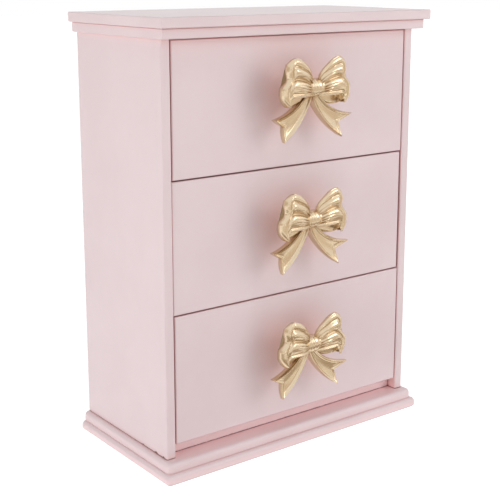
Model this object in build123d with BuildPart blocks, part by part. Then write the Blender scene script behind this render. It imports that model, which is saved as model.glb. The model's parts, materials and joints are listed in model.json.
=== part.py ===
import math
import os

from build123d import *

# Three-drawer tabletop chest of painted fibreboard with cast bow knobs, in millimetres.
# +X is to the right, +Y to the back and +Z up; the origin is the middle of the base's underside.

# Case
carcass_width = 192.0  # across the outer faces of the side panels
carcass_depth = 94.0  # front to rear edge of a side panel
side_thickness = 6.0
side_easing = 0.8  # rounding of a side panel's front edges
top_thickness = 6.0
top_side_overhang = 6.0  # beyond the side panel, as are the overhangs below
top_front_overhang = 10.5
cornice_thickness = 6.0
cornice_side_overhang = 3.5
cornice_front_overhang = 7.0
top_easing = 0.5  # bevel of the top's and the cornice's edges
upper_plinth_thickness = 6.0
upper_plinth_side_overhang = 3.2
upper_plinth_front_overhang = 6.4
lower_plinth_thickness = 6.0
lower_plinth_side_overhang = 5.5
lower_plinth_front_overhang = 9.6
plinth_round = 2.6  # rounding of a plinth's upper edge
plinth_foot_bevel = 1.2  # bevel of the lower plinth's bottom edge
plinth_corner_extra = 0.6  # how much rounder the plinths' upright corners are
bottom_thickness = 7.0  # fills the height up to the lowest front's reveal
bottom_setback = 7.0  # bottom board's edge behind the side panels' front edges
bottom_end_gap = 0.4  # bottom board's end to the side panel
shelf_thickness = 4.0
shelf_housing = 2.0  # depth of the grooves that hold the shelves
shelf_setback = 1.0  # shelf's edge behind the drawer fronts
back_thickness = 3.0
back_rebate = 3.0  # how far the back panel laps onto each side panel

# Drawers
drawers = ("bottom", "middle", "top")
front_height = 78.5
front_thickness = 6.0
front_gap = 0.8  # between fronts, under the lowest and under the cornice
front_side_gap = 0.7  # between a front's end and the side panel
drawer_shift = 0.4  # how far each drawer sits off the middle of its bay, by turns right and left
front_recess = 0.8  # front's face behind the side panels' front edges
front_easing = 0.5  # bevel round a front's face
running_clearance = 0.3  # under each drawer
box_side_gap = 1.2  # drawer side's outer face inside the front's end
box_wall = 5.0
box_rear_gap = 0.6  # drawer back to back panel, where a pushed drawer stops
box_headroom = 9.0  # drawer sides below the shelf above
box_bottom_thickness = 3.0
box_bottom_lift = 4.0  # drawer bottom above the drawer sides' lower edges
box_groove = 2.0  # depth of the groove round the drawer bottom
box_groove_play = 0.2  # drawer bottom's play in its groove

# Bow knob, measured from the drawer's face and from the middle of the knot
knob_rise = 9.0  # knot above the middle of the front
bow_standoff = 15.0  # face to the knot's axis
knot_width = 12.6
knot_radius = 5.7
knot_crown = 0.7  # how much thinner the knot is at its ends
knot_ridges = 3
knot_ridge_depth = 0.5
loop_gap = 12.2  # face to the flat backs of the loops, room for a fingertip
loop_reach = 26.4  # middle to the end of a loop
loop_rise = 17.8
loop_drop = 10.2
loop_root_height = 11.0  # where a loop leaves the knot
loop_puff = 9.0  # depth of a loop from its flat back
loop_sag = 2.0  # end of a loop below the middle of the knot
hem_drop = 2.3  # lower edge of a loop's front ribbon, at the top of its arch
hem_root_drop = 3.6  # and beside the knot
hem_start = 5.0  # ends of the arch from the middle of the knot, and its top
hem_top = 15.0
hem_end = 24.6
mouth_depth = 11.0  # hollow between a loop's two ribbons
mouth_width = 3.4
mouth_start = 9.0
mouth_end = 22.4
ribbon_thickness = 1.8
tail_standoff = 12.8  # face to the middle of a tail's front
tail_dish = 2.6  # how far the bent sheet's edges stand forward of its middle
tail_width = 17.0  # across a tail's two points
tail_root_width = 4.8
tail_length = 32.0  # root to the middle of the two points
tail_root_drop = 2.4  # root below the middle of the knot
tail_root_reach = 1.6
tail_pinch = 0.8  # how far a tail is narrower halfway than a straight taper
tail_bend = 3.4  # how far a tail curves below a straight line
tail_notch = 4.4
tail_skew = 1.4  # how much longer the lower point is, and shorter the upper
tail_heading = 39.4  # degrees below level
post_radius = 3.8
post_foot_radius = 5.6
post_foot_thickness = 2.0
screw_radius = 2.0
screw_engagement = 8.0  # length inside the knob's post
screw_spare = 1.5  # bore beyond the screw's end
screw_head_radius = 3.8
screw_head_height = 2.4
screw_slot_width = 1.0
screw_slot_depth = 1.2
screw_play = 0.3  # round the screw in the front
thread_play = 0.1  # round the screw in the post

# Brads, of flat wire
brad_width = 1.2
brad_head_width = 2.0
brad_head_thickness = 0.8
brad_play = 0.1
case_brad_length = 18.0
case_brad_inset = 14.0  # first and last brad of a row from the side panel's edges
case_brads_per_row = 3
back_brad_length = 10.0

# Form of a loop: counts, powers and shares
loop_stations = 12
loop_sides = 22
loop_crowding = 1.6  # how much closer the stations stand towards the loop's end
loop_full_share = 0.75  # of the reach, where the loop is tallest
loop_close_share = 0.68  # of the reach, where its end begins to round off
loop_end_share = 0.32  # of the height, left at the very end
loop_flare = 1.2
pleat_fullness = 0.6
crease_depth_share = 0.16  # of the puff, between the two pleats
crease_place_share = 0.08  # of half the height, above the middle
crease_width_share = 0.2  # of half the height
knot_sides = 20
back_brad_shares = (0.3, 0.7)  # heights of the back panel's brads in each drawer's bay

# Places worked out from the sizes
half_width = carcass_width / 2
inner_half_width = half_width - side_thickness
base_depth = carcass_depth + lower_plinth_front_overhang
rear_y = base_depth / 2
front_y = rear_y - carcass_depth
back_y = rear_y - back_thickness
face_y = front_y + front_recess
front_rear_y = face_y + front_thickness
shelf_y = front_rear_y + shelf_setback
plinth_corner_round = plinth_round + plinth_corner_extra
plinth_top = lower_plinth_thickness + upper_plinth_thickness
bottom_top = plinth_top + bottom_thickness
lowest_front = bottom_top + front_gap
drawer_pitch = front_height + front_gap
cornice_z = lowest_front + drawer_pitch * len(drawers)
top_z = cornice_z + cornice_thickness
front_half_width = inner_half_width - front_side_gap
box_half_width = front_half_width - box_side_gap
box_inner_half_width = box_half_width - box_wall
box_rear_y = back_y - box_rear_gap
box_back_y = box_rear_y - box_wall
box_height = drawer_pitch - shelf_thickness - running_clearance - box_headroom
shelf_tops = {"lower_shelf": bottom_top + drawer_pitch, "upper_shelf": bottom_top + drawer_pitch * 2}
case_brad_step = (carcass_depth - case_brad_inset * 2) / (case_brads_per_row - 1)
case_brad_row = [front_y + case_brad_inset + case_brad_step * n for n in range(case_brads_per_row)]
case_brad_x = half_width - side_thickness / 2
back_brad_x = inner_half_width + back_rebate / 2
back_brad_heights = [
    bottom_top + drawer_pitch * (level + share) for level in range(len(drawers)) for share in back_brad_shares
]

# Where the brads stand: down through the cornice, up through the upper plinth, forward through the back
cornice_brads = [Location((x, y, top_z)) for x in (-case_brad_x, case_brad_x) for y in case_brad_row]
plinth_brads = [
    Location((x, y, lower_plinth_thickness), (180, 0, 0))
    for x in (-case_brad_x, case_brad_x)
    for y in case_brad_row
]
back_brads = [
    Location((x, rear_y, z), (-90, 0, 0)) for x in (-back_brad_x, back_brad_x) for z in back_brad_heights
]


def save(piece, name):
    piece.part.label = name
    export_step(piece.part, f"parts/{name}.step")


def block(x_ends, y_ends, z_ends, mode=Mode.ADD):
    """Box between two planes each way."""
    low, high = (Vector(*corner) for corner in zip(x_ends, y_ends, z_ends))
    with Locations((low + high) / 2):
        Box(*(high - low), mode=mode)


def slab(side_overhang, front_overhang, z_ends):
    """Board across the whole case, flush with its back and standing out at the sides and the front."""
    reach = half_width + side_overhang
    block((-reach, reach), (front_y - front_overhang, rear_y), z_ends)


def brads(places, length, play=0, mode=Mode.ADD):
    """Brads with flush heads at the places, pointing down their -Z, or the holes that they leave."""
    with Locations(*places):
        for width, depth in ((brad_head_width, brad_head_thickness), (brad_width, length)):
            Box(width + play, brad_width + play, depth, align=(Align.CENTER, Align.CENTER, Align.MAX), mode=mode)


os.makedirs("parts", exist_ok=True)

# Base: two stacked plinth boards with rounded edges

with BuildPart() as lower_plinth:
    slab(lower_plinth_side_overhang, lower_plinth_front_overhang, (0, lower_plinth_thickness))
    fillet(edges().filter_by(Axis.Z).group_by(Axis.Y)[0], plinth_corner_round)
    fillet(faces().sort_by(Axis.Z)[-1].edges().sort_by(Axis.Y)[:-1], plinth_round)
    chamfer(faces().sort_by(Axis.Z)[0].edges().sort_by(Axis.Y)[:-1], plinth_foot_bevel)
save(lower_plinth, "lower_plinth")

with BuildPart() as upper_plinth:
    slab(upper_plinth_side_overhang, upper_plinth_front_overhang, (lower_plinth_thickness, plinth_top))
    fillet(edges().filter_by(Axis.Z).group_by(Axis.Y)[0], plinth_corner_round)
    fillet(faces().sort_by(Axis.Z)[-1].edges().sort_by(Axis.Y)[:-1], plinth_round)
    brads(plinth_brads, case_brad_length, brad_play, Mode.SUBTRACT)
save(upper_plinth, "upper_plinth")

# Case: side panels, bottom board, shelves and back panel

for name, sign in (("left_side", -1), ("right_side", 1)):
    inner_x = inner_half_width * sign
    with BuildPart() as side:
        block(sorted((inner_x, half_width * sign)), (front_y, rear_y), (plinth_top, cornice_z))
        fillet(edges().filter_by(Axis.Z).group_by(Axis.Y)[0], side_easing)
        block(
            sorted((inner_x, inner_x + back_rebate * sign)),
            (back_y, rear_y),
            (plinth_top, cornice_z),
            Mode.SUBTRACT,
        )
        for shelf_top in shelf_tops.values():
            block(
                sorted((inner_x, inner_x + shelf_housing * sign)),
                (shelf_y, back_y),
                (shelf_top - shelf_thickness, shelf_top),
                Mode.SUBTRACT,
            )
        brads(cornice_brads + plinth_brads, case_brad_length, brad_play, Mode.SUBTRACT)
        brads(back_brads, back_brad_length, brad_play, Mode.SUBTRACT)
    save(side, name)

with BuildPart() as bottom_board:
    bottom_reach = inner_half_width - bottom_end_gap
    block((-bottom_reach, bottom_reach), (front_y + bottom_setback, back_y), (plinth_top, bottom_top))
save(bottom_board, "bottom_board")

for name, shelf_top in shelf_tops.items():
    shelf_reach = inner_half_width + shelf_housing
    with BuildPart() as shelf:
        block((-shelf_reach, shelf_reach), (shelf_y, back_y), (shelf_top - shelf_thickness, shelf_top))
    save(shelf, name)

with BuildPart() as back_panel:
    back_reach = inner_half_width + back_rebate
    block((-back_reach, back_reach), (back_y, rear_y), (plinth_top, cornice_z))
    brads(back_brads, back_brad_length, brad_play, Mode.SUBTRACT)
save(back_panel, "back_panel")

# Top: cornice board with the wider top board over it

with BuildPart() as cornice_board:
    slab(cornice_side_overhang, cornice_front_overhang, (cornice_z, top_z))
    chamfer(edges(), top_easing)
    brads(cornice_brads, case_brad_length, brad_play, Mode.SUBTRACT)
save(cornice_board, "cornice_board")

with BuildPart() as top_board:
    slab(top_side_overhang, top_front_overhang, (top_z, top_z + top_thickness))
    chamfer(edges(), top_easing)
save(top_board, "top_board")

# Brads, each row a group of separate nails

with BuildPart() as case_nails:
    brads(cornice_brads + plinth_brads, case_brad_length)
save(case_nails, "case_brads")

with BuildPart() as back_nails:
    brads(back_brads, back_brad_length)
save(back_nails, "back_brads")

# Bow knob: one casting, with its origin where the post's foot meets the drawer's face


def loop_section(share):
    """Outline of a loop at a share of its reach: flat back, and two pleats with a crease between them.
    All outlines are alike in shape and lie round the middle of the loop's depth."""
    grow = math.sin(min(share / loop_full_share, 1) * math.pi / 2) ** loop_flare
    close = math.sqrt(1 - max((share - loop_close_share) / (1 - loop_close_share), 0) ** 2)
    full_height = loop_rise + loop_drop
    height = loop_root_height + (full_height - loop_root_height) * grow
    height *= loop_end_share + (1 - loop_end_share) * close
    middle = (loop_rise - loop_drop) / 2 * grow * close - loop_sag * (1 - close)
    depth = loop_puff * height / full_height
    back = loop_gap + (loop_puff - depth) / 2
    for n in range(loop_sides):
        angle = math.pi * n / (loop_sides - 1)
        level = -math.cos(angle)
        dip = crease_depth_share * math.exp(-(((level - crease_place_share) / crease_width_share) ** 2))
        puff = depth * math.sin(angle) ** pleat_fullness * (1 - dip)
        yield (-back - puff, middle + level * height / 2)


def flat_faced(part):
    """The same solid with each of its flat facets as a true plane."""
    return Solid(Shell([Face(facet.outer_wire()) for facet in part.faces()]))


with BuildPart() as loop:
    for station in range(loop_stations):
        share = 1 - (1 - station / (loop_stations - 1)) ** loop_crowding
        with BuildSketch(Plane.YZ.offset(loop_reach * share)):
            with BuildLine():
                Polyline(*loop_section(share), close=True)
            make_face()
    loft(ruled=True)

# Barrel across the middle, with ridges that run round it
with BuildPart() as knot:
    for n in range(2 * knot_ridges + 1):
        place = n / knot_ridges - 1
        radius = knot_radius - knot_crown * place**2 - knot_ridge_depth * (1 - n % 2)
        with BuildSketch(Plane.YZ.offset(knot_width / 2 * place)):
            with Locations((-bow_standoff, 0)):
                RegularPolygon(radius, knot_sides)
    loft(ruled=True)

# Dished ribbon that widens as it falls outwards, with a notched end
with BuildPart() as tail:
    tail_axis = Plane(
        origin=(tail_root_reach, -tail_standoff, -tail_root_drop),
        x_dir=(math.sin(math.radians(tail_heading)), 0, math.cos(math.radians(tail_heading))),
        z_dir=(math.cos(math.radians(tail_heading)), 0, -math.sin(math.radians(tail_heading))),
    )
    sheet_reach = tail_width / 2 + tail_bend
    with BuildSketch(tail_axis):
        with BuildLine():
            front = ThreePointArc((-sheet_reach, tail_dish), (0, 0), (sheet_reach, tail_dish))
            back = ThreePointArc(
                (-sheet_reach, tail_dish - ribbon_thickness),
                (0, -ribbon_thickness),
                (sheet_reach, tail_dish - ribbon_thickness),
            )
            Line(front @ 0, back @ 0)
            Line(front @ 1, back @ 1)
        make_face()
    extrude(amount=tail_length + tail_skew)
    # Outline seen from the front, with the tail's length along its own x
    tail_half_width = (tail_root_width + tail_width) / 4 - tail_pinch
    with BuildSketch(Plane(origin=tail_axis.origin, x_dir=tail_axis.z_dir, z_dir=(0, -1, 0))):
        with BuildLine():
            edges_of_tail = [
                ThreePointArc(
                    (0, tail_root_width / 2 * side),
                    (tail_length / 2, tail_half_width * side - tail_bend),
                    (tail_length - tail_skew * side, tail_width / 2 * side),
                )
                for side in (-1, 1)
            ]
            Line(edges_of_tail[0] @ 0, edges_of_tail[1] @ 0)
            Polyline(edges_of_tail[0] @ 1, (tail_length - tail_notch, 0), edges_of_tail[1] @ 1)
        make_face()
    extrude(amount=tail_width, both=True, mode=Mode.INTERSECT)

with BuildPart() as bow:
    add(flat_faced(loop))
    # Arched lower edge of the front ribbon, which leaves the back ribbon standing below it
    back_ribbon = loop_gap + ribbon_thickness
    with BuildSketch(Plane.XZ.offset(back_ribbon)):
        with BuildLine():
            hem = ThreePointArc((hem_start, -hem_root_drop), (hem_top, -hem_drop), (hem_end, -loop_drop))
            Polyline(hem @ 1, (hem_start, -loop_drop), hem @ 0)
        make_face()
    extrude(amount=loop_puff, mode=Mode.SUBTRACT)
    # Hollow between the two ribbons
    with BuildSketch(Plane.XY.offset(-loop_drop)):
        with Locations(((mouth_start + mouth_end) / 2, -back_ribbon - mouth_width / 2)):
            Rectangle(mouth_end - mouth_start, mouth_width)
    extrude(amount=mouth_depth, mode=Mode.SUBTRACT)
    add(tail.part)
    mirror(about=Plane.YZ)
    add(flat_faced(knot))
    # Post with its foot on the drawer's face, bored for the screw
    with BuildSketch(Plane.XZ):
        Circle(post_radius)
    extrude(amount=bow_standoff)
    with BuildSketch(Plane.XZ):
        Circle(post_foot_radius)
    extrude(amount=post_foot_thickness)
    with BuildSketch(Plane.XZ):
        Circle(screw_radius + thread_play)
    extrude(amount=screw_engagement + screw_spare, mode=Mode.SUBTRACT)

# Drawers, alike but for their height

for level, drawer in enumerate(drawers):
    shift = drawer_shift * (-1) ** level
    front_z = lowest_front + drawer_pitch * level
    box_z = bottom_top + drawer_pitch * level + running_clearance
    floor_z = box_z + box_bottom_lift
    knob_z = front_z + front_height / 2 + knob_rise
    box_z_ends = (box_z, box_z + box_height)
    floor_z_ends = (floor_z, floor_z + box_bottom_thickness)
    floor_reach = box_inner_half_width + box_groove
    floor_y_ends = (front_rear_y - box_groove, box_back_y + box_groove)
    groove_z_ends = (floor_z - box_groove_play / 2, floor_z + box_bottom_thickness + box_groove_play / 2)
    groove = ((shift - floor_reach, shift + floor_reach), floor_y_ends, groove_z_ends, Mode.SUBTRACT)
    screw_plane = Plane(origin=(shift, front_rear_y, knob_z), x_dir=(1, 0, 0), z_dir=(0, -1, 0))

    with BuildPart() as drawer_front:
        block(
            (shift - front_half_width, shift + front_half_width),
            (face_y, front_rear_y),
            (front_z, front_z + front_height),
        )
        chamfer(faces().sort_by(Axis.Y)[0].edges(), front_easing)
        block(*groove)
        with BuildSketch(screw_plane):
            Circle(screw_radius + screw_play)
        extrude(amount=front_thickness, mode=Mode.SUBTRACT)
    save(drawer_front, f"{drawer}_drawer_front")

    for name, sign in (("left", -1), ("right", 1)):
        with BuildPart() as drawer_side:
            block(
                sorted((shift + box_inner_half_width * sign, shift + box_half_width * sign)),
                (front_rear_y, box_rear_y),
                box_z_ends,
            )
            block(*groove)
        save(drawer_side, f"{drawer}_drawer_{name}")

    with BuildPart() as drawer_back:
        block(
            (shift - box_inner_half_width, shift + box_inner_half_width),
            (box_back_y, box_rear_y),
            box_z_ends,
        )
        block(*groove)
    save(drawer_back, f"{drawer}_drawer_back")

    with BuildPart() as drawer_bottom:
        play = box_groove_play / 2
        block(
            (shift - floor_reach + play, shift + floor_reach - play),
            (floor_y_ends[0] + play, floor_y_ends[1] - play),
            floor_z_ends,
        )
    save(drawer_bottom, f"{drawer}_drawer_bottom")

    with BuildPart() as knob:
        with Locations((shift, face_y, knob_z)):
            add(bow.part)
    save(knob, f"{drawer}_bow_knob")

    with BuildPart() as screw:
        with BuildSketch(screw_plane):
            Circle(screw_head_radius)
        extrude(amount=-screw_head_height)
        with BuildSketch(screw_plane):
            Circle(screw_radius)
        extrude(amount=front_thickness + screw_engagement)
        with BuildSketch(screw_plane.offset(-screw_head_height)):
            Rectangle(screw_head_radius * 2, screw_slot_width)
        extrude(amount=screw_slot_depth, mode=Mode.SUBTRACT)
    save(screw, f"{drawer}_knob_screw")
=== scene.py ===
# %% [markdown]
# # A pale pink chest of drawers with bow knobs
# The chest is a small tabletop organizer: painted fibreboard, three flush drawers, and on each drawer a cast metal
# knob in the form of a tied bow. Its boards come ready made at their real size, as a frame that stays where it is.
# What is left to do here is the looks: paint, bare board and metal for every board and screw, a finely modelled bow
# over each plain one, and then light, floor and camera.

# %% The ready-made boards
import json
import math

import bmesh
import bpy
import numpy as np
from mathutils import Matrix, Vector

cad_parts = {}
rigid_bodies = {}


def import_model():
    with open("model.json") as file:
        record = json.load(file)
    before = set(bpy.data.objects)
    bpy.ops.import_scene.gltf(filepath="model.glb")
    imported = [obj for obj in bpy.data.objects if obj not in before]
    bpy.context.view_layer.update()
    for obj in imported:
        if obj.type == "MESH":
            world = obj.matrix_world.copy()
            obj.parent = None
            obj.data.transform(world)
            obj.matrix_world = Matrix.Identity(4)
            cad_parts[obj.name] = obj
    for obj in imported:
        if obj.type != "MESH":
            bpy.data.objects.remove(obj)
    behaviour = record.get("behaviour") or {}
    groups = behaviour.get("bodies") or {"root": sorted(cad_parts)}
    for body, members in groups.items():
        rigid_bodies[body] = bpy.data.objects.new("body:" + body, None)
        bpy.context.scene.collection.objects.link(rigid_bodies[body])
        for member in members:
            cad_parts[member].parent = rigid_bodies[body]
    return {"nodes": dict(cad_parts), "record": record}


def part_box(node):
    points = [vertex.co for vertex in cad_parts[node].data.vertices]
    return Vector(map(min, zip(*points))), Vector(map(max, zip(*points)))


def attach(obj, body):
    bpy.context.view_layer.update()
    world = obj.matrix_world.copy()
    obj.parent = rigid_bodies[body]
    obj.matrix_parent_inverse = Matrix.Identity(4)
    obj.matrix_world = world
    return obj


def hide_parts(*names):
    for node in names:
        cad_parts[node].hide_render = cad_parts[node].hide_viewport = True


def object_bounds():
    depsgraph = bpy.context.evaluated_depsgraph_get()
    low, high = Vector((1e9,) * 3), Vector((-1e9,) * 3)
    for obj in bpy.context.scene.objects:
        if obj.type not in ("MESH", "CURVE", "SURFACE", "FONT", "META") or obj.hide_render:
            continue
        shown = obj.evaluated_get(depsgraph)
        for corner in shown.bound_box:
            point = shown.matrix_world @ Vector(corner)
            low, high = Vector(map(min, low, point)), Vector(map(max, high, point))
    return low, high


for leftover in list(bpy.data.objects):
    bpy.data.objects.remove(leftover)
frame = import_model()
nodes = frame["nodes"]
cad_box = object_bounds()
drawers = ("bottom", "middle", "top")
print(len(nodes), "boards and fittings, from", tuple(cad_box[0]), "to", tuple(cad_box[1]))

# %% [markdown]
# ## Writing shader sums as Python
# A material is a net of nodes, and most of those nodes do plain arithmetic. Wiring them by hand hides the idea, so
# one small class wraps an output socket: Python's own operators then add the Math nodes, and one method adds any
# other node from its type, its settings and its sockets.

# %% A socket that can be used in a sum


class Wire:
    """A node's output socket, which Python arithmetic can use."""

    def __init__(self, tree, socket=None):
        self.tree = tree
        self.socket = socket

    def add(self, kind, settings=(), sockets=(), out=0):
        """Adds a node: its settings first, then a value or a wire for each socket, and gives one of its outputs."""
        node = self.tree.nodes.new("ShaderNode" + kind)
        for name, value in dict(settings).items():
            setattr(node, name, value)
        for name, value in dict(sockets).items():
            if isinstance(value, Wire):
                self.tree.links.new(value.socket, node.inputs[name])
            else:
                node.inputs[name].default_value = value
        return Wire(self.tree, node.outputs[out])

    def math(self, operation, first, second):
        return self.add("Math", {"operation": operation}, {0: first, 1: second})

    def __add__(self, other):
        return self.math("ADD", self, other)

    __radd__ = __add__

    def __sub__(self, other):
        return self.math("SUBTRACT", self, other)

    def __rsub__(self, other):
        return self.math("SUBTRACT", other, self)

    def __mul__(self, other):
        return self.math("MULTIPLY", self, other)

    __rmul__ = __mul__

    def __truediv__(self, other):
        return self.math("DIVIDE", self, other)

    def ramp(self, low, high):
        """0 up to low, 1 from high on, and a smooth step between them."""
        limits = {"Value": self, "From Min": low, "From Max": high}
        return self.add("MapRange", {"interpolation_type": "SMOOTHSTEP"}, limits)

    def blend(self, low, high):
        """The colour low where this is 0 and high where it is 1."""
        return self.add("Mix", {"data_type": "RGBA"}, {0: self, 6: low, 7: high}, out=2)

    def noise(self, scale, detail, roughness=0.5):
        """Soft noise, 0 to 1, over the place that this wire gives."""
        return self.add(
            "TexNoise", {}, {"Vector": self, "Scale": scale, "Detail": detail, "Roughness": roughness}
        )


def colour(red, green, blue):
    """A colour as a screen shows it, 0 to 255, turned into the light values that a shader works in."""

    def light(level):
        share = level / 255
        return share / 12.92 if share <= 0.04045 else ((share + 0.055) / 1.055) ** 2.4

    return (light(red), light(green), light(blue), 1.0)


def new_finish(name):
    """An empty material: its wire to build from, and its main shader."""
    material = bpy.data.materials.new(name)
    material.use_nodes = True
    wire = Wire(material.node_tree)
    return material, wire, material.node_tree.nodes["Principled BSDF"]


def feed(wire, shader, name):
    """Links a wire to one of a shader's inputs."""
    wire.tree.links.new(wire.socket, shader.inputs[name])


mm = 0.001
print("one millimetre is", mm, "of the scene's metres")

# %% [markdown]
# ## Pink paint
# The boards are sprayed with satin paint. Up close such paint is never one flat tone: it clouds a little from coat to
# coat, has a fine orange-peel skin, and looks soft along each edge because paint draws back from a corner. Noise at
# three sizes gives the clouding, the skin and the change of gloss, and a bevel in the shader rounds the edges. A
# picture of paint would need every board laid out flat, while noise is worked out in the solid and runs over edges
# unbroken. Light that the pink boards throw onto one another is painted into the colour: in the shade of the bows and
# in recesses the pink is painted warmer, as painted bounce light, and in tight joints it is painted darker, as
# painted shade. Two ambient occlusion nodes find those places, one with a long reach and one with a short one. The
# plinths and the strip under the lowest drawer lie near the white floor, and their painted shade is paler, standing
# in for light that the floor throws up. Where a side panel stands on the plinth the paint has cracked along the
# joint, which shows as a thin ragged line.

# %% Paint
paint_pale = colour(227, 207, 209)
paint_deep = colour(223, 202, 204)
# painted bounce light: where the shade of the bows and recesses falls, the pink is painted this warmer tone
painted_shade_pink = colour(243, 203, 200)
# paler painted shade for the plinths and the strip, standing in for light thrown up by the white floor
plinth_painted_shade = colour(246, 212, 213)
strip_painted_shade = colour(254, 226, 228)
# painted shade: tight joints and corners are painted this darker pink
painted_joint_shade = colour(204, 152, 153)
crack_tone = colour(122, 80, 78)
shade_reach = 25 * mm
corner_reach = 2.5 * mm
shade_span = (0.2, 0.95)  # open shares between which a shade fades out
corner_span = (0.25, 0.75)
edge_softness = 0.5 * mm
peel_depth = 0.06 * mm
crack_height = 1.0 * mm
crack_raggedness = 0.9
side_chips = 0.9
joint_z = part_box("left_side")[0].z
front_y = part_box("left_side")[0].y
crack_run = (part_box("left_side")[1].y - front_y) * 0.7  # from the front edge to where the crack has faded


def pink_paint(name, cracked, chipped=0.0, shade=painted_shade_pink):
    """Satin paint. Cracked paint has the line along the joint, and chipped says how far chips rise from it."""
    material, wire, shader = new_finish(name)
    place = wire.add("TexCoord", out="Object")
    cloud = place.noise(18.0, detail=4.0, roughness=0.6)
    fibre = place.noise(420.0, detail=3.0, roughness=0.7)
    peel = place.noise(900.0, detail=2.0)
    open_share = wire.add("AmbientOcclusion", {"samples": 6}, {"Distance": shade_reach}, out="AO")
    tone = cloud.ramp(0.3, 0.7).blend(paint_deep, paint_pale)
    # painted shade: warmer pink in the shade of the bows and in recesses, found by ambient occlusion
    tone = open_share.ramp(*shade_span).blend(shade, tone)
    corner_share = wire.add("AmbientOcclusion", {"samples": 6}, {"Distance": corner_reach}, out="AO")
    # painted shade: darker pink where a short ambient occlusion finds a tight joint
    tone = corner_share.ramp(*corner_span).blend(painted_joint_shade, tone)
    if cracked:
        depth = wire.add("SeparateXYZ", {}, {0: place}, out=1)
        height = wire.add("SeparateXYZ", {}, {0: place}, out=2)
        ragged = place.noise(260.0, detail=3.0, roughness=0.7)
        chips = place.noise(150.0, detail=1.0)
        nearness = 1 - ((depth - front_y) / crack_run).ramp(0.0, 1.0)
        level = ragged * crack_raggedness + chips.ramp(0.56, 0.64) * nearness * chipped
        crack = 1 - ((height - joint_z) / crack_height).ramp(level - 0.15, level + 0.1)
        tone = (crack * (nearness * 0.5 + 0.5)).blend(tone, crack_tone)
    feed(tone, shader, "Base Color")
    feed(0.34 + 0.12 * fibre, shader, "Roughness")
    shader.inputs["Coat Weight"].default_value = 0.35
    shader.inputs["Coat Roughness"].default_value = 0.2
    rounded = wire.add("Bevel", {"samples": 6}, {"Radius": edge_softness})
    skin_height = peel * 0.7 + fibre * 0.3
    bumped = wire.add(
        "Bump", {}, {"Strength": 0.12, "Distance": peel_depth, "Height": skin_height, "Normal": rounded}
    )
    feed(bumped, shader, "Normal")
    return material


paint = pink_paint("satin_pink_paint", cracked=False)
plinth_paint = pink_paint("satin_pink_paint_paler_in_painted_shade", cracked=False, shade=plinth_painted_shade)
strip_paint = pink_paint("satin_pink_paint_cracked_at_the_joint", cracked=True, shade=strip_painted_shade)
side_paint = pink_paint("satin_pink_paint_chipped_at_the_joint", cracked=True, chipped=side_chips)
print("paint finishes:", paint.name, plinth_paint.name, strip_paint.name, side_paint.name)

# %% [markdown]
# ## Bare fibreboard
# Inside, the drawers and shelves are bare board: pressed wood fibre, light brown, with a fine speckle of darker chips
# and no grain. Chips made as real relief would cost many faces and hardly show, so the speckle is colour alone: two
# noises of very different size and a cell pattern give the specks and the slow change of tone.

# %% Board
board_light = colour(193, 162, 126)
board_dark = colour(160, 126, 92)
chip_tone = colour(118, 88, 60)
sawn_edge_softness = 0.3 * mm
fuzz_depth = 0.08 * mm


def bare_board():
    material, wire, shader = new_finish("bare_fibreboard")
    place = wire.add("TexCoord", out="Object")
    cloud = place.noise(30.0, detail=5.0, roughness=0.65)
    fibre = place.noise(900.0, detail=4.0, roughness=0.75)
    chips = wire.add("TexVoronoi", {}, {"Vector": place, "Scale": 520.0, "Randomness": 1.0})
    tone = (cloud * 0.6 + fibre * 0.4).ramp(0.35, 0.65).blend(board_dark, board_light)
    speck = (1 - chips.ramp(0.12, 0.22)) * fibre.ramp(0.45, 0.65) * 0.6
    feed(speck.blend(tone, chip_tone), shader, "Base Color")
    feed(0.72 + 0.16 * fibre, shader, "Roughness")
    rounded = wire.add("Bevel", {"samples": 4}, {"Radius": sawn_edge_softness})
    bumped = wire.add(
        "Bump", {}, {"Strength": 0.25, "Distance": fuzz_depth, "Height": fibre, "Normal": rounded}
    )
    feed(bumped, shader, "Normal")
    return material


board = bare_board()
print("board finish:", board.name)

# %% [markdown]
# ## Zinc-plated steel
# Screws and nails are plated steel: grey, half shiny, with fine random scratches and a slightly cloudy plating. They
# show only when a drawer is open, so a metal shader with two noises is enough.

# %% Steel
steel_bright = colour(196, 198, 202)
steel_dull = colour(150, 152, 156)


def zinc_steel():
    material, wire, shader = new_finish("zinc_plated_steel")
    place = wire.add("TexCoord", out="Object")
    cloud = place.noise(320.0, detail=4.0, roughness=0.6)
    scratch = place.noise(2600.0, detail=3.0)
    feed(cloud.ramp(0.35, 0.65).blend(steel_dull, steel_bright), shader, "Base Color")
    feed(0.26 + 0.2 * scratch, shader, "Roughness")
    shader.inputs["Metallic"].default_value = 1.0
    return material


steel = zinc_steel()
print("steel finish:", steel.name)

# %% [markdown]
# ## Champagne gold
# The bows are cast in zinc and plated a pale satin gold. In the creases the plating is duller, and there the colour
# is painted browner: partly the plating's own tone, mostly painted shade where the folds shade one another. How open
# a point lies to its surroundings tells crease from ridge, so an ambient occlusion node chooses between the two tones
# and the two roughnesses. Creases painted by hand would have to be painted again after every change to the folds.

# %% Gold
gold_bright = colour(224, 204, 174)
# painted shade: creases get this browner gold, partly the plating's own tone
gold_crease_painted_shade = colour(176, 138, 94)
crease_reach = 3.4 * mm
grain_depth = 0.05 * mm


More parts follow.
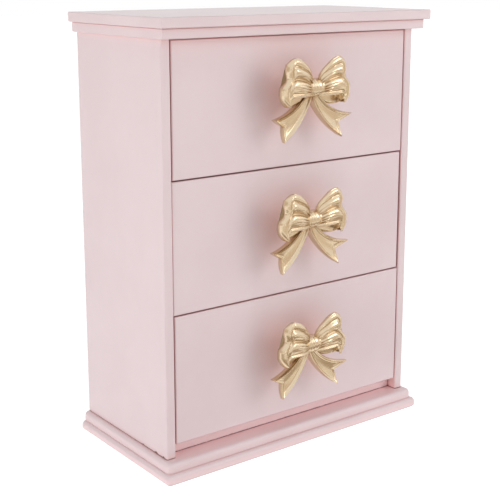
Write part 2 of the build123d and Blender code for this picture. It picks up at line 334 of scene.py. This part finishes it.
def champagne_gold():
    material, wire, shader = new_finish("satin_champagne_gold")
    place = wire.add("TexCoord", out="Object")
    cloud = place.noise(160.0, detail=4.0, roughness=0.6)
    grain = place.noise(2200.0, detail=2.0)
    open_share = wire.add(
        "AmbientOcclusion", {"samples": 8, "only_local": True}, {"Distance": crease_reach}, out="AO"
    )
    # openness is 1 on open ridges and 0 in creases; it picks the painted crease shade and the higher roughness there
    openness = (open_share * 0.9 + cloud * 0.1).ramp(0.3, 0.8)
    feed(openness.blend(gold_crease_painted_shade, gold_bright), shader, "Base Color")
    feed(0.34 - 0.12 * openness + 0.06 * grain, shader, "Roughness")
    shader.inputs["Metallic"].default_value = 1.0
    bumped = wire.add("Bump", {}, {"Strength": 0.08, "Distance": grain_depth, "Height": grain})
    feed(bumped, shader, "Normal")
    return material


gold = champagne_gold()
print("gold finish:", gold.name)

# %% [markdown]
# ## A finish for every board
# The record of the chest names a material slot for each piece, so the slot decides which finish a piece wears. A list
# of all the boards could be written here too, but two lists soon disagree. Only the five painted boards that differ
# are named, and get the paint that was mixed for them.

# %% Dress the boards
finishes = {"pink_paint": paint, "bare_board": board, "gold": gold, "steel": steel}
for entry in frame["record"]["subparts"]:
    piece = nodes[entry["node"]]
    piece.data.materials.clear()
    piece.data.materials.append(finishes[entry["material_slot"]])
own_finishes = {
    "left_side": side_paint,
    "right_side": side_paint,
    "bottom_board": strip_paint,
    "lower_plinth": plinth_paint,
    "upper_plinth": plinth_paint,
}
for name, finish in own_finishes.items():
    nodes[name].data.materials[0] = finish

# %% [markdown]
# ## The bow: how its pieces are skinned
# A cast bow has no straight line, so each of its parts is drawn as a row of closed outlines with a skin stretched
# between them, the way a boat's planks go over its ribs. It could be sculpted by hand, but ribs from formulas keep
# every size a number that can be mended later. One function makes the skin for loops, tails, knot and post.
# Lengths here are in millimetres; x runs out from the knot, depth runs out from the drawer and height goes up.

# %% Skin over ribs


def skin(name, ribs, around=False, bent=False):
    """A closed mesh over ribs of equally many (x, depth, height) points, in a row with two ends or in a ring.
    A bent end is closed by rungs between opposite points, a plain one by one face. All faces look outwards."""
    ribs = np.asarray(ribs, float)
    rows, count = ribs.shape[:2]
    points = ribs.reshape(-1, 3) * (1, -1, 1)
    faces = []
    for row in range(rows if around else rows - 1):
        near, far = row * count, (row + 1) % rows * count
        faces += [(near + n, near + (n + 1) % count, far + (n + 1) % count, far + n) for n in range(count)]
    ends = [tuple(range(count))]
    if bent:
        ends = [(n, n + 1, count - 2 - n, count - 1 - n) for n in range(count // 2 - 1)]
    if not around:
        faces += [face[::-1] for face in ends]
        faces += [tuple((rows - 1) * count + corner for corner in face) for face in ends]
    mesh = bpy.data.meshes.new(name)
    mesh.from_pydata(points.tolist(), [], faces)
    shell = bmesh.new()
    shell.from_mesh(mesh)
    bmesh.ops.recalc_face_normals(shell, faces=shell.faces[:])
    shell.to_mesh(mesh)
    shell.free()
    body = bpy.data.objects.new(name, mesh)
    bpy.context.scene.collection.objects.link(body)
    return body


def ease(share):
    """A quarter sine from 0 to 1."""
    return np.sin(np.clip(share, 0, 1) * math.pi / 2)


def step(share):
    """A smooth step from 0 to 1."""
    share = min(max(share, 0), 1)
    return share**2 * (3 - 2 * share)


def ridge(place, middle, width):
    """A smooth hump of height 1 at middle."""
    return np.exp(-(((place - middle) / width) ** 2))


def crowded(count, power):
    """Shares from 0 to 1 that stand closer together towards 1."""
    return 1 - (1 - np.linspace(0, 1, count)) ** power


print("the skin takes ribs of any shape")

# %% [markdown]
# ## Loops
# Each loop is a wide ribbon that leaves the knot, puffs out, rolls over at its end and comes back behind. Its front
# carries a rolled rim along the top, two soft pleats with a crease between them and gathers beside the knot, and its
# lower edge arches so that the back ribbon shows in the hollow below. A bent strip of even thickness would be quicker
# to make, but a cast loop is full behind its folds, so whole cuts are drawn. A rib is one upright cut through all
# that: up the back, over the top, down the pleated front, round the hem, up into the hollow and down again.

# %% Sizes of a loop
loop_gap = 12.4  # drawer's face to the flat back of the loops
loop_root = 2.5
loop_reach = 26.4
upper_reach = 22.9
loop_rise = 18.0
loop_drop = 10.2
loop_puff = 9.2
root_rise = 5.4
root_drop = 5.6
root_puff = 6.8
rim_radius = 2.3  # of the roll along the upper edge, at its fullest and beside the knot
rim_root_radius = 1.0
rim_share = 0.72  # of the puff, where the middle of that roll lies
lean_power = 1.6  # how late the back leans forward to the roll
corner_fall = 3.4  # how far the top drops towards the outer end
ribbon = 1.7
hem_top = -4.2  # lower edge of the front ribbon, at its highest
hem_root = -4.4
hollow_depth = 5.0
full_share = 0.82  # of the reach, where the loop is tallest
top_fullness = 0.6  # below 1 the top rises early, beside the knot
roll_share = 0.8  # where the outer roll begins
pleats = (  # share of the way down the front, width, height
    (0.34, 0.12, 0.8), (0.53, 0.045, -1.2), (0.53, 0.11, -0.6),
    (0.72, 0.12, 0.8), (0.92, 0.03, -0.6), (0.975, 0.025, 0.4),
)
gathers = ((0.34, 0.03), (0.44, 0.025), (0.68, 0.025), (0.77, 0.025), (0.86, 0.02))
gather_depth = 1.2
gather_length_share = 0.36
seam_share = 0.8  # the soft upright valley where the front turns into the outer roll
seam_width = 0.045
seam_depth = 0.8
waist_height = 6.6  # where the outer roll is drawn in between its two lobes
waist_depth = 0.5
print("a loop reaches", loop_reach, "mm out and rises", loop_rise, "mm")

# %% The loop's outer end
widening_start = 6.8  # height from which the loop widens downwards
widening_length = 7.0
top_round_start, top_round_length, top_round_depth = 10.5, 7.0, 2.0
foot_round_start, foot_round_length, foot_round_depth = -3.0, 7.5, 4.6
end_waist_depth, end_waist_width = 0.5, 2.2


def reach_at(height):
    """How far out the loop's end lies at each height: a narrow upper lobe over a wide lower one."""
    lower = ease((widening_start - height) / widening_length) ** 2
    above = np.clip((height - top_round_start) / top_round_length, 0, 1) ** 2 * top_round_depth
    below = np.clip((foot_round_start - height) / foot_round_length, 0, 1) ** 2 * foot_round_depth
    waist = end_waist_depth * ridge(height, waist_height, end_waist_width)
    return upper_reach + (loop_reach - upper_reach) * lower - above - below - waist


print("its upper lobe ends", round(float(reach_at(12.0)), 1), "mm from the knot's middle")

# %% The loop's front
front_points = 72
pleat_root_share = 0.35  # of their height that the pleats have beside the knot
pleat_full_share = 0.3
fill_start = 1.4  # in rim radii below the top, where the front swells out again under the rim
fill_length = 2.2
rim_valley = 0.45
belly = 0.1  # of the puff, by which the lower half draws back
lobe_round = 2.6  # in rim radii, how far down the outer roll is rounded
lobe_waist_width = 2.4
lobe_start, lobe_length = 0.74, 0.08  # share at which the pleats give way to the outer roll


def loop_front(share, top, hem, puff, radius):
    """Depth and height of the points down the front of a rib, from its top to its hem."""
    rim = rim_share * puff
    across = np.linspace(0, 1, front_points)
    fall = across * (top - hem)
    rolled = rim + np.sqrt(np.maximum(radius**2 - (fall - radius) ** 2, 0))
    folds = sum(height * ridge(across, middle, width) for middle, width, height in pleats)
    folds = folds * (pleat_root_share + (1 - pleat_root_share) * ease(share / pleat_full_share))
    fade = math.exp(-((share / gather_length_share) ** 2))
    folds = folds - gather_depth * fade * sum(ridge(across, middle, width) for middle, width in gathers)
    filled = 1 - np.exp(-((np.maximum(fall - fill_start * radius, 0) / fill_length) ** 2))
    valley = rim + rim_valley * radius
    face = valley + (puff - valley) * filled - belly * puff * np.clip(across * 2 - 1, 0, 1) ** 2
    pleated = np.maximum(rolled, face + folds * filled)
    swelling = np.sqrt(1 - np.clip(1 - fall / (lobe_round * radius), 0, 1) ** 2)
    waist = waist_depth * ridge(top - fall, waist_height, lobe_waist_width)
    lobes = rim + (puff - rim) * swelling - waist
    depth = pleated + (lobes - pleated) * step((share - lobe_start) / lobe_length)
    depth = depth - seam_depth * ridge(share, seam_share, seam_width) * filled
    return depth, top - fall


print("its front has", front_points, "points in each rib")

# %% The whole loop
loop_rib_count = 54
thinnest_roll = 0.04
back_full_share = 0.8
arch_share = 0.4
hem_close_start, hem_close_length = 0.66, 0.3  # share at which the front hem goes down to the back one
puff_full_share = 0.35
rim_full_share = 0.5
hollow_lip = 0.3
hollow_start, hollow_length, hollow_fullness = 0.08, 0.7, 0.8
hem_round = 0.4  # of the ribbon's thickness, by which a hem bulges down
hollow_round = 0.2
back_points, rim_points, hollow_points = 16, 7, 9


def loop_rib(share):
    """One closed cut through a loop, from the knot at share 0 to the outer end at 1."""
    past = max(share - roll_share, 0) / (1 - roll_share)
    roll = max(math.sqrt(1 - past**2), thinnest_roll)
    swell = ease(share / full_share) ** top_fullness
    top = root_rise + (loop_rise - root_rise) * swell - corner_fall * past**2
    back_hem = -root_drop - (loop_drop - root_drop) * ease(share / back_full_share) + past**2
    arch = hem_root + (hem_top - hem_root) * ease(share / arch_share)
    hem = arch + (back_hem - arch) * step((share - hem_close_start) / hem_close_length)
    puff = root_puff + (loop_puff - root_puff) * ease(share / puff_full_share)
    radius = rim_root_radius + (rim_radius - rim_root_radius) * ease(share / rim_full_share)
    rim = rim_share * puff
    shoulder = top - radius

    def back(heights):
        rise = np.clip((heights - back_hem) / (shoulder - back_hem), 0, 1)
        return (rim - radius) * rise**lean_power

    depth, front_heights = loop_front(share, top, hem, puff, radius)
    inner = depth[-1] - ribbon
    hollow_share = min(max((share - hollow_start) / hollow_length, 0), 1)
    hollow = hem + hollow_lip + hollow_depth * math.sin(math.pi * hollow_share) ** hollow_fullness
    up = np.linspace(0, 1, hollow_points)
    risers = np.linspace(back_hem, shoulder, back_points)
    turn = np.linspace(0, math.pi / 2, rim_points)[1:-1]
    fallers = hollow + (back_hem - hollow) * up
    outline = list(zip(back(risers), risers))
    outline += list(zip(rim - radius * np.cos(turn), shoulder + radius * np.sin(turn)))
    outline += list(zip(depth, front_heights))
    outline.append((depth[-1] - ribbon / 2, hem - hem_round * ribbon))
    outline += [(inner, hem + (hollow - hem) * rise) for rise in up]
    outline.append(((inner + ribbon) / 2, hollow + hollow_round * (inner - ribbon)))
    outline += list(zip(back(fallers) + ribbon, fallers))
    outline.append((ribbon / 2, back_hem - hem_round * ribbon))
    depths, heights = np.array(outline).T
    out = loop_root + (reach_at(heights) - loop_root) * share
    return np.stack([out, loop_gap + puff * (1 - roll) / 2 + depths * roll, heights], 1)


def mirrored(ribs):
    """The same ribs on the other side of the knot."""
    return np.asarray(ribs)[::-1] * (-1, 1, 1)


loop_ribs = [loop_rib(share) for share in crowded(loop_rib_count, 1.6)]
print("a loop has", len(loop_ribs), "ribs of", len(loop_ribs[0]), "points")

# %% [markdown]
# ## Tails
# The ribbon's two ends fall outwards from under the knot. Each is dished, widens as it goes, curves a little below a
# straight line and ends in a notch, with a raised bead along all its edges. A flat plate with bevelled edges would
# lose the dish and the bead, which catch most of the light. The ribs run across the ribbon, and the last ones bend
# into the notch.

# %% Tail ribs
tail_root = np.array((1.6, -3.5))
tail_heading = math.radians(39.4)
tail_length = 32.0
tail_skew = 1.4  # how much farther the lower tip reaches than the upper
tail_width = 17.0
tail_root_width = 5.0
tail_pinch = 0.7
tail_bend = 3.4
tail_notch = 5.2
tail_middle = 14.0  # drawer's face to the middle of a tail's front
tail_dish = 2.2
tail_curl = 0.6
tail_thickness = 6.2
tail_end_thickness = 2.6
dish_root_share = 0.3  # of the dish that a tail has at the knot
notch_power = 1.1
bead_height, bead_width, bead_inset = 0.7, 0.8, 0.6
groove_depth, groove_width, groove_inset = 0.15, 0.8, 2.2  # inside the bead
edge_fall, edge_width = 0.5, 0.2
notch_slant = 0.9  # a notch's edge lies aslant, so it is nearer than the way along the tail
tail_rib_count, tail_points = 44, 29
along = np.array((math.cos(tail_heading), -math.sin(tail_heading)))
upward = np.array((math.sin(tail_heading), math.cos(tail_heading)))


def tail_rib(share):
    """One closed cut across a tail, from the knot at share 0 to the notched end at 1."""
    side = np.linspace(-1, 1, tail_points)
    end = tail_length - tail_notch * (1 - np.abs(side)) ** notch_power - tail_skew * side
    length = end * share
    run = length / tail_length
    half_width = (tail_root_width + (tail_width - tail_root_width) * run) / 2 - tail_pinch * 4 * run * (1 - run)
    offset = side * half_width - tail_bend * 4 * run * (1 - run)
    places = tail_root + np.outer(length, along) + np.outer(offset, upward)
    to_edge = np.minimum((1 - np.abs(side)) * half_width, (end - length) * notch_slant)
    bead = bead_height * ridge(to_edge, bead_inset, bead_width)
    bead = bead - groove_depth * ridge(to_edge, groove_inset, groove_width)
    dish = tail_dish * side**2 * (dish_root_share + (1 - dish_root_share) * run)
    depth = tail_middle + dish + tail_curl * run**3
    front = np.stack([places[:, 0], depth + bead - edge_fall * ridge(to_edge, 0, edge_width), places[:, 1]], 1)
    thickness = tail_thickness + (tail_end_thickness - tail_thickness) * run
    back = np.stack([places[:, 0], depth - thickness, places[:, 1]], 1)
    return np.concatenate([front, back[::-1]])


tail_ribs = [tail_rib(share) for share in crowded(tail_rib_count, 1.7)]
print("a tail has", len(tail_ribs), "ribs of", len(tail_ribs[0]), "points")

# %% [markdown]
# ## Knot and post
# The knot is a barrel across the middle, with narrow folds running round it where the ribbon was drawn tight. The
# post behind it is turned: a neck with a foot that sits on the drawer, bored for the screw. Both are lathe work, one
# about the x axis and one about the depth axis.

# %% Knot and post ribs
knot_standoff = 15.0  # drawer's face to the knot's axis
knot_half_width = 6.6
knot_radius = 5.5
knot_barrel = 0.08  # share of the radius that is lost towards the ends
knot_end_round, knot_end_power = 0.3, 14
knot_folds = (  # middle, width, depth
    (-4.6, 0.6, 0.45), (-2.9, 0.5, 0.4), (-1.2, 0.5, 0.3), (1.2, 0.7, 0.15), (4.2, 0.6, 0.2),
)
post_bore = 2.1
post_length = 15
post_profile = (  # radius and distance from the drawer's face
    (post_bore, 0), (5.6, 0), (5.6, 1.3), (5.2, 1.8), (4.5, 2.05), (4.0, 2.5), (3.8, 3.2),
    (3.8, post_length), (post_bore, post_length),
)
knot_rib_count, knot_points, post_rib_count = 61, 64, 48
full_turn = 2 * math.pi


def knot_rib(x):
    """The ring round the knot at one place along it."""
    turn = np.linspace(0, full_turn, knot_points, endpoint=False)
    share = x / knot_half_width
    radius = knot_radius * (1 - knot_barrel * share**2) * (1 - abs(share) ** knot_end_power * knot_end_round)
    radius = radius - sum(depth * ridge(x, middle, width) for middle, width, depth in knot_folds)
    depth = knot_standoff + radius * np.cos(turn)
    return np.stack([np.full(knot_points, x), depth, radius * np.sin(turn)], 1)


def post_rib(turn):
    """The post's profile, turned about its axis."""
    return [(radius * math.cos(turn), depth, radius * math.sin(turn)) for radius, depth in post_profile]


knot_places = knot_half_width * np.sin(np.linspace(-1, 1, knot_rib_count) * math.pi / 2)
knot_ribs = [knot_rib(x) for x in knot_places]
post_ribs = [post_rib(turn) for turn in np.linspace(0, full_turn, post_rib_count, endpoint=False)]
print("the knot has", len(knot_ribs), "ribs and the post", len(post_ribs))

# %% [markdown]
# ## One casting
# The six skins overlap. They could be left so and look the same, but a casting is one piece and the hidden faces
# would stay in the model, so they are joined into one closed surface before anything else. A union can leave corners
# with only two edges, which add nothing to the shape and would fold into slivers when the faces are cut into
# triangles, so they are taken out. Smooth shading with sharp edges only where two parts meet at a clear angle then
# lets light run over the folds.

# %% Join the bow
sharp_angle = math.radians(48)


def joined(parts, name):
    """One closed mesh from overlapping bodies, which are then removed."""
    first = parts[0]
    for other in parts[1:]:
        union = first.modifiers.new("union", "BOOLEAN")
        union.operation = "UNION"
        union.solver = "MANIFOLD"
        union.object = other
    united = first.evaluated_get(bpy.context.evaluated_depsgraph_get())
    mesh = bpy.data.meshes.new_from_object(united)
    mesh.name = name
    casting = bmesh.new()
    casting.from_mesh(mesh)
    idle_corners = [corner for corner in casting.verts if len(corner.link_edges) == 2]
    bmesh.ops.dissolve_verts(casting, verts=idle_corners)
    casting.to_mesh(mesh)
    casting.free()
    for part in parts:
        bpy.data.objects.remove(part)
    return mesh


bow_parts = [
    skin("knot", knot_ribs),
    skin("right_loop", loop_ribs),
    skin("left_loop", mirrored(loop_ribs)),
    skin("right_tail", tail_ribs, bent=True),
    skin("left_tail", mirrored(tail_ribs), bent=True),
    skin("post", post_ribs, around=True),
]
bow = joined(bow_parts, "bow")
bow.transform(Matrix.Scale(mm, 4))
bow.materials.clear()
bow.materials.append(gold)
bow.shade_smooth()
bow.set_sharp_from_angle(angle=sharp_angle)
print("the bow has", len(bow.polygons), "faces")

# %% [markdown]
# ## A bow for each drawer
# The three bows are alike, so they share one mesh and a change to it shows on all three. Each takes the place of the
# plain bow on its drawer and rides with that drawer. It is hung by the middle of the screw that holds it.

# %% Hang the bows
for drawer in drawers:
    plain = f"{drawer}_bow_knob"
    screw_middle = sum(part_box(f"{drawer}_knob_screw"), Vector()) / 2
    piece = bpy.data.objects.new(f"{drawer}_gold_bow", bow)
    bpy.context.scene.collection.objects.link(piece)
    piece.location = (screw_middle.x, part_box(plain)[1].y, screw_middle.z)
    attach(piece, f"{drawer}_drawer")
    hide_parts(plain)
    print(piece.name, "hangs at height", round(piece.location.z, 4))

# %% [markdown]
# ## Floor and world
# The chest stands on a plain white floor under a white studio. The floor glows by itself, so that the camera sees it
# white to the horizon and with a soft shadow round the base. Paint and metal mirror the same white. The light that
# floor and world send to the boards is weaker, so that it stays at a plain level.

# %% Floor and world
floor_size = 12.0
floor_white = 0.9
floor_glow_share = 0.8
floor_bounce_share = 0.34
floor_glow = 1.32
ambient_level = 0.42


def flat_sheet(name, width, length):
    """A flat rectangle about its own middle."""
    across, up = width / 2, length / 2
    mesh = bpy.data.meshes.new(name)
    mesh.from_pydata([(-across, -up, 0), (across, -up, 0), (across, up, 0), (-across, up, 0)], [], [(0, 1, 2, 3)])
    sheet = bpy.data.objects.new(name, mesh)
    bpy.context.scene.collection.objects.link(sheet)
    return sheet


floor = flat_sheet("floor", floor_size, floor_size)


def seen(wire):
    """1 for rays that show the background: from the camera, a mirror or a clear body."""
    kinds = ("Is Camera Ray", "Is Glossy Ray", "Is Transmission Ray")
    camera, glossy, clear = (wire.add("LightPath", out=kind) for kind in kinds)
    return wire.math("MINIMUM", camera + glossy + clear, 1.0)


floor_finish, wire, shader = new_finish("white_floor")
shader.inputs["Base Color"].default_value = (floor_white, floor_white, floor_white, 1)
shader.inputs["Roughness"].default_value = 0.9
shader.inputs["Specular IOR Level"].default_value = 0.0
glow = wire.add("Emission", {}, {"Color": (1, 1, 1, 1), "Strength": floor_glow})
share = floor_bounce_share + (floor_glow_share - floor_bounce_share) * seen(wire)
mixed = wire.add("MixShader", {}, {0: share, 1: Wire(wire.tree, shader.outputs[0]), 2: glow})
wire.tree.links.new(mixed.socket, wire.tree.nodes["Material Output"].inputs["Surface"])
floor.data.materials.append(floor_finish)

world = bpy.data.worlds.new("studio")
world.use_nodes = True
bpy.context.scene.world = world
wire = Wire(world.node_tree)
background = world.node_tree.nodes["Background"]
background.inputs["Color"].default_value = (1, 1, 1, 1)
feed(ambient_level + (1 - ambient_level) * seen(wire), background, "Strength")
print("floor of", floor_size, "m under a white world")

# %% [markdown]
# ## Studio light
# Soft shadows of the bows fall to the left and down, so the main light comes from two panels on the right, one high
# and a wider one lower, with a third overhead. A small low panel on the left keeps the side of the chest bright, and
# the white world fills the shadows. Metal shows what it mirrors more than what lights it, so the panels themselves
# stay out of reflections and cards take their place: white ones for the highlights, and beige and brown ones for the
# middle and dark tones of the gold. The brown card lies flat on the floor beside the chest and is painted shade: it
# stands in for the floor's shade there, which only the gold sees.

# %% Lamps and cards
chest_middle = (cad_box[0] + cad_box[1]) / 2
lamps = {  # place, size, power
    "key_panel": ((0.7, -1.1, 0.9), 0.7, 3.0),
    "right_panel": ((1.0, -1.0, 0.46), 0.9, 4.7),
    "high_panel": ((-0.1, -0.2, 1.4), 1.0, 2.6),
    "left_panel": ((-1.3, -0.25, 0.26), 0.52, 5.6),
}


def aim(body, place, target):
    """Puts a lamp or a card at a place and turns it to a target."""
    body.location = place
    body.rotation_euler = (target - Vector(place)).to_track_quat("-Z", "Y").to_euler()


for name, (place, size, power) in lamps.items():
    light = bpy.data.lights.new(name, "AREA")
    light.size = size
    light.energy = power
    lamp = bpy.data.objects.new(name, light)
    bpy.context.scene.collection.objects.link(lamp)
    aim(lamp, place, chest_middle)
    lamp.visible_glossy = False

bright = (3.4, 3.4, 3.4, 1)
white = (1.9, 1.9, 1.9, 1)
beige = (0.68, 0.59, 0.5, 1)
brown = (0.4, 0.31, 0.22, 1)
cards = {  # place, width and length, tone
    "key_card": ((0.7, -1.1, 0.9), (0.6, 0.6), bright),
    "left_front_card": ((-0.8, -2.1, 0.2), (0.35, 1.0), white),
    "rear_card": ((-1.2, 1.0, 0.45), (0.9, 0.9), beige),
    "left_card": ((-2.2, -0.2, 0.4), (2.2, 1.6), beige),
    "standing_card": ((0.0, -2.4, 0.3), (4.0, 1.2), beige),
    "floor_card": ((0.6, -1.25, 0.001), (2.6, 1.9), beige),
    # painted shade: a brown card flat on the floor beside the chest stands in for the floor's shade in the gold
    "floor_shade_card": ((0.2, -0.15, 0.001), (1.0, 0.12), brown),
}


def card(name, place, size, tone):
    """A glowing card that only mirrors see, turned to the chest or flat on the floor."""
    finish, _, shader = new_finish(name)
    shader.inputs["Base Color"].default_value = (0, 0, 0, 1)
    shader.inputs["Emission Color"].default_value = tone
    shader.inputs["Emission Strength"].default_value = 1.0
    body = flat_sheet(name, *size)
    body.data.materials.append(finish)
    body.location = place
    if "floor" not in name:
        aim(body, place, chest_middle)
    body.visible_camera = False
    body.visible_diffuse = False
    body.visible_shadow = False


for name, (place, size, tone) in cards.items():
    card(name, place, size, tone)
print("lamps:", ", ".join(lamps), "and cards:", ", ".join(cards))

# %% [markdown]
# ## Camera
# The chest is seen from the front left, from a little above its top, through a long lens. A camera that is tilted
# down makes upright edges converge, so part of the tilt is left out and the frame is shifted down a little in its
# place.

# %% Camera
camera_place = Vector((-0.415, -0.5445, 0.294))
camera_turn = math.radians(37.1)
camera_tilt = math.radians(12.19)
camera_lens = 78.2
camera_sensor = 36.0
camera_shift = -0.09

lens = bpy.data.cameras.new("camera")
lens.lens = camera_lens
lens.sensor_width = camera_sensor
lens.shift_y = camera_shift
camera = bpy.data.objects.new("camera", lens)
bpy.context.scene.collection.objects.link(camera)
camera.location = camera_place
camera.rotation_euler = (math.pi / 2 - camera_tilt, 0, -camera_turn)
bpy.context.scene.camera = camera
bpy.context.scene.view_settings.view_transform = "Standard"
print("camera at", tuple(camera_place))

# %% [markdown]
# ## Measure and finish
# The dressed chest must keep the size of its boards, so the box of the boards is printed.

# %% Sizes
print("boards", [list(corner) for corner in cad_box])
